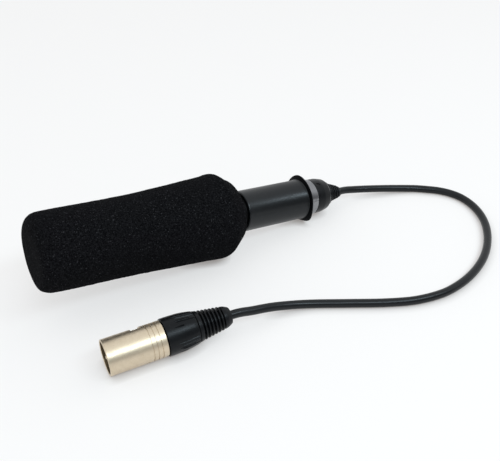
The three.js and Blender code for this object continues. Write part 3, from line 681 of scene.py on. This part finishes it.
def plug_shell():
    """The shell, with its latch window, rear notch, a dent and the key inside its mouth."""
    depth, half_width = 0.4, 0.25
    floor_half_width = 0.2
    grooves = []
    for x in (-8.1, -5.7, -3.3):
        grooves += [
            (x - half_width, SHELL_RADIUS), (x - floor_half_width, SHELL_RADIUS - depth),
            (x + floor_half_width, SHELL_RADIUS - depth), (x + half_width, SHELL_RADIUS)]
    shell = turned("plug_shell", [
        (SHELL_RIM, SHELL_MOUTH, 0.3), (SHELL_RIM, SHELL_RADIUS, 0.4), *grooves,
        (-0.1, SHELL_RADIUS, 0.3), (-0.1, 8.35), (-9.3, 8.35), (-9.3, SHELL_BORE),
        (-18.4, SHELL_BORE), (-18.6, SHELL_MOUTH),
    ], 160)
    window = block("window", (4.8, 7.4, 4), 0.4)
    notch = block("notch", (2.6, 2.6, 3), 0.4)
    dent = turned("dent", [(-1, 0), (-1, 0.9), (0.4, 0.9, 0.3), (0.4, 0)], 24)
    dent.transform(Matrix.Rotation(math.pi / 2, 4, "Y"))
    shell = joined_by(shell, [
        (window, at_angle(0.03, -13, SHELL_RADIUS)), (notch, at_angle(2.95, 0.2, SHELL_RADIUS)),
        (dent, at_angle(2.9, -11.4, 9.45)),
    ], "DIFFERENCE")
    key = block("key", (11.8, 1.6, 1.8), 0.25)
    shell = joined_by(shell, [(key, at_angle(math.pi / 2 + 0.14, -24.5, 8.1))], "UNION")
    piece = on_plug("shell", shell, NICKEL, "microphone", "nickel", "plug_shell")

    # The faces of the bore, which look at the axis, take a darker copy of the nickel as painted
    # shade
    piece.data.materials.append(NICKEL_PAINTED_SHADE)
    to_axis = PLUG.inverted()
    for face in piece.data.polygons:
        centre, normal = to_axis @ face.center, to_axis.to_3x3() @ face.normal
        in_bore = math.hypot(centre.y, centre.z) < (SHELL_MOUTH + 0.05) * MM
        behind_rim = centre.x > (SHELL_RIM + 0.3) * MM
        if in_bore and behind_rim and normal.y * centre.y + normal.z * centre.z < 0:
            face.material_index = 1


plug_shell()


def plug_inside():
    """The insert with a hole for each pin, and the three pins with a cup for the wire behind."""
    insert = turned("plug_insert", [
        (-17.4, 0), (-17.4, 7.75, 0.4), (-9, 7.75), (-9, SHELL_BORE), (-7, SHELL_BORE), (-7, 0)])
    holes = [
        (turned("pin_hole", [(-19, 0), (-19, 1.5), (-5, 1.5), (-5, 0)], 32),
         at_angle(angle, 0, PIN_CIRCLE))
        for angle in PIN_ANGLES]
    insert = joined_by(insert, holes, "DIFFERENCE")
    on_plug("insert", insert, INSERT_BROWN, "microphone", "black_plastic", "plug_insert")
    for number, angle in enumerate(PIN_ANGLES, 1):
        pin = turned(
            f"plug_pin_{number}",
            [(-29.8, 0), (-29.8, 1.2, 0.9), (-3.2, 1.2), (-3.2, 0.8), (-5.2, 0.8), (-5.2, 0)], 40)
        pin.transform(at_angle(angle, 0, PIN_CIRCLE))
        on_plug(f"pin_{number}", pin, NICKEL, "microphone", "nickel", f"plug_pin_{number}")


plug_inside()


def plug_bushing():
    """The bushing: a plain band, then fine lengthwise grooves that run out at both ends."""
    bushing = turned("plug_bushing", [
        (-5.5, 7.2), (-5.5, SHELL_BORE), (BUSHING_FRONT, SHELL_BORE),
        (BUSHING_FRONT, BUSHING_RADIUS, 0.25), (3.3, BUSHING_RADIUS, 2), (9.35, 9.9, 8),
        (12.6, 9.55, 8), (15.5, 9.07, 6), (BUSHING_REAR, 8.65, 0.35), (BUSHING_REAR, 5.3),
        (16.6, 5.3), (16.6, 6.3), (9.1, 6.3), (3.1, 7.2),
    ], 160)
    # Each groove is cut by a square bar on its edge, which follows the bushing's taper
    bar, fall, level, level_at = 0.72, 0.119, 10.12, 6.8
    grooves = []
    for degrees, start, reach in (
        (77, 6.8, 10.3), (62, 5.2, 5), (12, 5.2, 11.6), (3, 7, 10.1), (-7, 5.6, 8.5),
    ):
        middle = start + reach / 2
        on_edge = Matrix.Rotation(math.atan(fall), 4, "Y") @ Matrix.Rotation(math.pi / 4, 4, "X")
        for quarter in range(4):
            angle = math.radians(135 - degrees) + quarter * math.pi / 2
            place = at_angle(angle, middle, level - fall * (middle - level_at)) @ on_edge
            grooves.append((block("groove", (reach, bar, bar), 0.08), place))
    bushing = joined_by(bushing, grooves, "DIFFERENCE", 28)
    on_plug("bushing", bushing, BLACK_PLASTIC, "plug_bushing", "black_plastic", "plug_bushing")


plug_bushing()

on_plug(
    "boot",
    turned("plug_boot", [
        (14.5, CABLE_HOLE), (14.5, 6), (16.3, 6), (16.3, 5), (17.65, 5), (17.65, 8.45, 0.35),
        (19.8, 8.0, 0.3), (19.95, 5.9, 0.2), *ribbed(20.65, 6, 2.0, 2.1, 7.85, 6.4),
        (32.35, 4.4, 0.2), (32.5, 6.1, 0.35), (34.4, 5.75, 2), (PLUG_BOOT_END, 4.5, 0.8),
        (PLUG_BOOT_END, CABLE_HOLE),
    ], 128),
    BLACK_RUBBER, "plug_boot", "black_rubber", "plug_boot")


# Cable. The route's points are the part's own: x, y and the lift from where it lies on the table.


def along(place, x):
    """The point at x millimetres on the axis of the microphone or the plug."""
    return place @ Vector((x * MM, 0, 0))


ROUTE = [
    (116.4, -1.2, 4.6), (124.9, -3.8, 3.5), (134.6, -6.9, 2.1), (143, -10, 1),
    (150.9, -13.8, 0.3), (158.1, -18.2, 0), (163.9, -23.3, 0), (169.2, -28.6, 0),
    (173.3, -35, 0), (175.7, -42.9, 0), (175.4, -52.2, 0), (173, -60.7, 0),
    (169.3, -68.3, 0), (164.8, -74.9, 0), (159.4, -81, 0), (153.1, -86.9, 0),
    (145.7, -92.6, 0), (137.2, -97.8, 0), (128.6, -101.8, 0), (120, -104.8, 0),
    (111.3, -106.9, 0), (102.7, -108, 0), (94.7, -108.2, 0), (87, -107.2, 0),
    (79.5, -105.4, 0), (72.2, -102.8, 0), (58.9, -95.9, 0), (42.9, -86, 0),
    (27.2, -76.3, 0.1), (18.9, -72.3, 0.7), (10.9, -69.8, 1.9), (3.2, -68.4, 3.6),
    (-3.8, -67.8, 5.2), (-10.1, -67.2, 6.4),
]


def smooth_route(points, spacing=0.0015):
    """A centripetal curve through the points, as a list of evenly spread places."""
    ends = [2 * points[0] - points[1], *points, 2 * points[-1] - points[-2]]
    places = []
    for a, b, c, d in zip(ends, ends[1:], ends[2:], ends[3:]):
        k0, k1, k2 = ((q - p).length ** 0.5 for p, q in ((a, b), (b, c), (c, d)))
        leave = ((b - a) / k0 - (c - a) / (k0 + k1) + (c - b) / k1) * k1
        arrive = ((c - b) / k1 - (d - b) / (k1 + k2) + (d - c) / k2) * k1
        count = max(2, math.ceil((c - b).length / spacing))
        for i in range(count):
            t = i / count
            places.append(
                (2 * t**3 - 3 * t**2 + 1) * b + (t**3 - 2 * t**2 + t) * leave
                + (3 * t**2 - 2 * t**3) * c + (t**3 - t**2) * arrive)
    places.append(points[-1])
    return places


def cable():
    """The free cable, straight where it leaves each boot and sagging a little before the table."""
    lead, gap, table_gap = 6, 0.3, 0.05
    sag, plug_sag = Vector((0, 0, droop(BOOT_END))) * MM, Vector((0, 0, 0.6)) * MM
    points = [
        along(MICROPHONE, BOOT_END + 0.05) - sag, along(MICROPHONE, BOOT_END + lead) - sag,
        *[Vector((x, y, CABLE_RADIUS + table_gap + lift)) * MM for x, y, lift in ROUTE],
        along(PLUG, PLUG_BOOT_END + lead) - plug_sag,
        along(PLUG, PLUG_BOOT_END + gap) - plug_sag / 6,
    ]
    places = smooth_route(points)
    curve = bpy.data.curves.new("cable_jacket", "CURVE")
    curve.dimensions = "3D"
    curve.bevel_depth = CABLE_RADIUS * MM
    curve.bevel_resolution = 6
    curve.use_fill_caps = True
    spline = curve.splines.new("POLY")
    spline.points.add(len(places) - 1)
    for point, place in zip(spline.points, places):
        point.co = (*place, 1)
    curve.materials.append(CABLE_JACKET)
    piece = bpy.data.objects.new("cable_round", curve)
    bpy.context.scene.collection.objects.link(piece)
    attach(piece, "microphone")
    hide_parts("cable")


cable()


# Inner pieces keep their solids, each in its own finish

FINISHES = {
    BLACK_METAL: ["slotted_tube", "front_cap"],
    LINER_CLOTH: ["cloth_liner"],
    BRASS: ["capsule_housing", "diaphragm_ring", "back_plate", "contact_pin", "capsule_retainer"],
    STEEL: ["front_gauze", "transformer", "transistor", "cable_clamp"],
    FILM: ["diaphragm"],
    INSULATOR: [
        "spacer_ring", "capsule_insulator", "front_board_holder", "rear_board_holder", "resistor_1",
        "resistor_2"],
    BOARD_GREEN: ["circuit_board"],
    BLACK_PLASTIC: ["capacitor_1", "capacitor_2", "plug_chuck"],
    CABLE_JACKET: ["cable_tail", "plug_cable_tail"],
    WIRES["red"]: ["conductor_hot", "plug_conductor_1"],
    WIRES["white"]: ["capsule_lead", "conductor_cold", "plug_conductor_2"],
    WIRES["black"]: ["conductor_shield", "plug_conductor_3"],
}
for finish, names in FINISHES.items():
    for name in names:
        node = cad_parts[name]
        node.data.materials.clear()
        node.data.materials.append(finish)


# Studio: a pale floor, a bright surround overhead and behind, and a strip lamp above the front edge

CAMERA_PLACE = Vector((-0.1638, -0.30084, 0.26133))
CAMERA_DOWN = math.radians(35.53)
CAMERA_ASIDE = math.radians(-33.14)


def seen_directly(tree):
    """1 for camera, glossy and transmission rays, which show the floor's own white."""
    path = tree.nodes.new("ShaderNodeLightPath")
    seen = arithmetic(tree, "ADD", path.outputs["Is Camera Ray"], path.outputs["Is Glossy Ray"])
    seen = arithmetic(tree, "ADD", seen, path.outputs["Is Transmission Ray"])
    return arithmetic(tree, "MINIMUM", seen, 1)


def studio_floor():
    """The white table. Seen directly, part of its white is its own: painted shadow beside a piece.
    """
    own_share, painted_shadow_reach = 0.58, 0.005
    white_tone, painted_shadow_tone = (0.937, 0.937, 0.937), (0.36, 0.33, 0.31)
    finish, tree, shader = material(
        "studio_floor", (0.885, 0.869, 0.857), 0.8, Specular_IOR_Level=0.0)
    # A painted contact shadow: the table's own white turns warm grey within a few millimetres of a
    # piece
    painted_shadow_occlusion = tree.nodes.new("ShaderNodeAmbientOcclusion")
    painted_shadow_occlusion.inputs["Distance"].default_value = painted_shadow_reach
    white = tree.nodes.new("ShaderNodeEmission")
    put(tree, white.inputs["Color"], tint(tree, painted_shadow_occlusion.outputs["AO"], painted_shadow_tone, white_tone))
    blend = tree.nodes.new("ShaderNodeMixShader")
    put(tree, blend.inputs[0], arithmetic(tree, "MULTIPLY", seen_directly(tree), own_share))
    tree.links.new(shader.outputs[0], blend.inputs[1])
    tree.links.new(white.outputs[0], blend.inputs[2])
    tree.links.new(blend.outputs[0], tree.nodes["Material Output"].inputs["Surface"])
    mesh = bpy.data.meshes.new("floor")
    reach = 6
    corners = [(-reach, -reach, 0), (reach, -reach, 0), (reach, reach, 0), (-reach, reach, 0)]
    mesh.from_pydata(corners, [], [(0, 1, 2, 3)])
    lay("floor", mesh, Matrix.Identity(4), finish)


def studio_surround():
    """The light from all round: bright overhead and behind, dimmer in front, pale low down."""
    world = bpy.data.worlds.new("studio_surround")
    bpy.context.scene.world = world
    world.use_nodes = True
    tree = world.node_tree
    direction = tree.nodes.new("ShaderNodeSeparateXYZ")
    put(tree, direction.inputs[0], tree.nodes.new("ShaderNodeTexCoord").outputs["Generated"])
    front, behind, horizon = 0.3, 1.0, 0.9
    above = spread(tree, direction.outputs["Y"], -0.72, -0.38, front, behind)
    height = spread(tree, direction.outputs["Z"], 0.01, 0.08)
    strength = spread(tree, height, 0, 1, horizon, above)
    put(tree, tree.nodes["Background"].inputs["Strength"], strength)
    tree.nodes["Background"].inputs["Color"].default_value = (0.97, 0.985, 1, 1)


def strip_lamp():
    """A long narrow softbox above the front edge, nearly in line with the microphone."""
    place, turn = Vector((0.13, -0.77, 0.95)), math.radians(10)
    length, width, radiance = 1.06, 0.22, 10.3
    light = bpy.data.lights.new("strip_softbox", "AREA")
    light.shape = "RECTANGLE"
    light.size, light.size_y = length, width
    light.energy = radiance * math.pi * length * width
    light.color = (0.8, 0.93, 1)
    piece = bpy.data.objects.new("strip_softbox", light)
    bpy.context.scene.collection.objects.link(piece)
    piece.location = place
    back = place.normalized()
    side = Vector((math.cos(turn), math.sin(turn), 0))
    side = (side - back * back.dot(side)).normalized()
    piece.rotation_euler = Matrix((side, back.cross(side), back)).transposed().to_euler()


studio_floor()
studio_surround()
strip_lamp()

# The photograph's camera: 700 pixels of focal length on a picture 500 pixels wide
camera = bpy.data.cameras.new("camera")
camera.sensor_width = 36
camera.lens = 700 / 500 * camera.sensor_width
camera_piece = bpy.data.objects.new("camera", camera)
bpy.context.scene.collection.objects.link(camera_piece)
camera_piece.location = CAMERA_PLACE
camera_piece.rotation_euler = Euler((math.pi / 2 - CAMERA_DOWN, 0, CAMERA_ASIDE))
bpy.context.scene.camera = camera_piece
bpy.context.scene.view_settings.view_transform = "Standard"
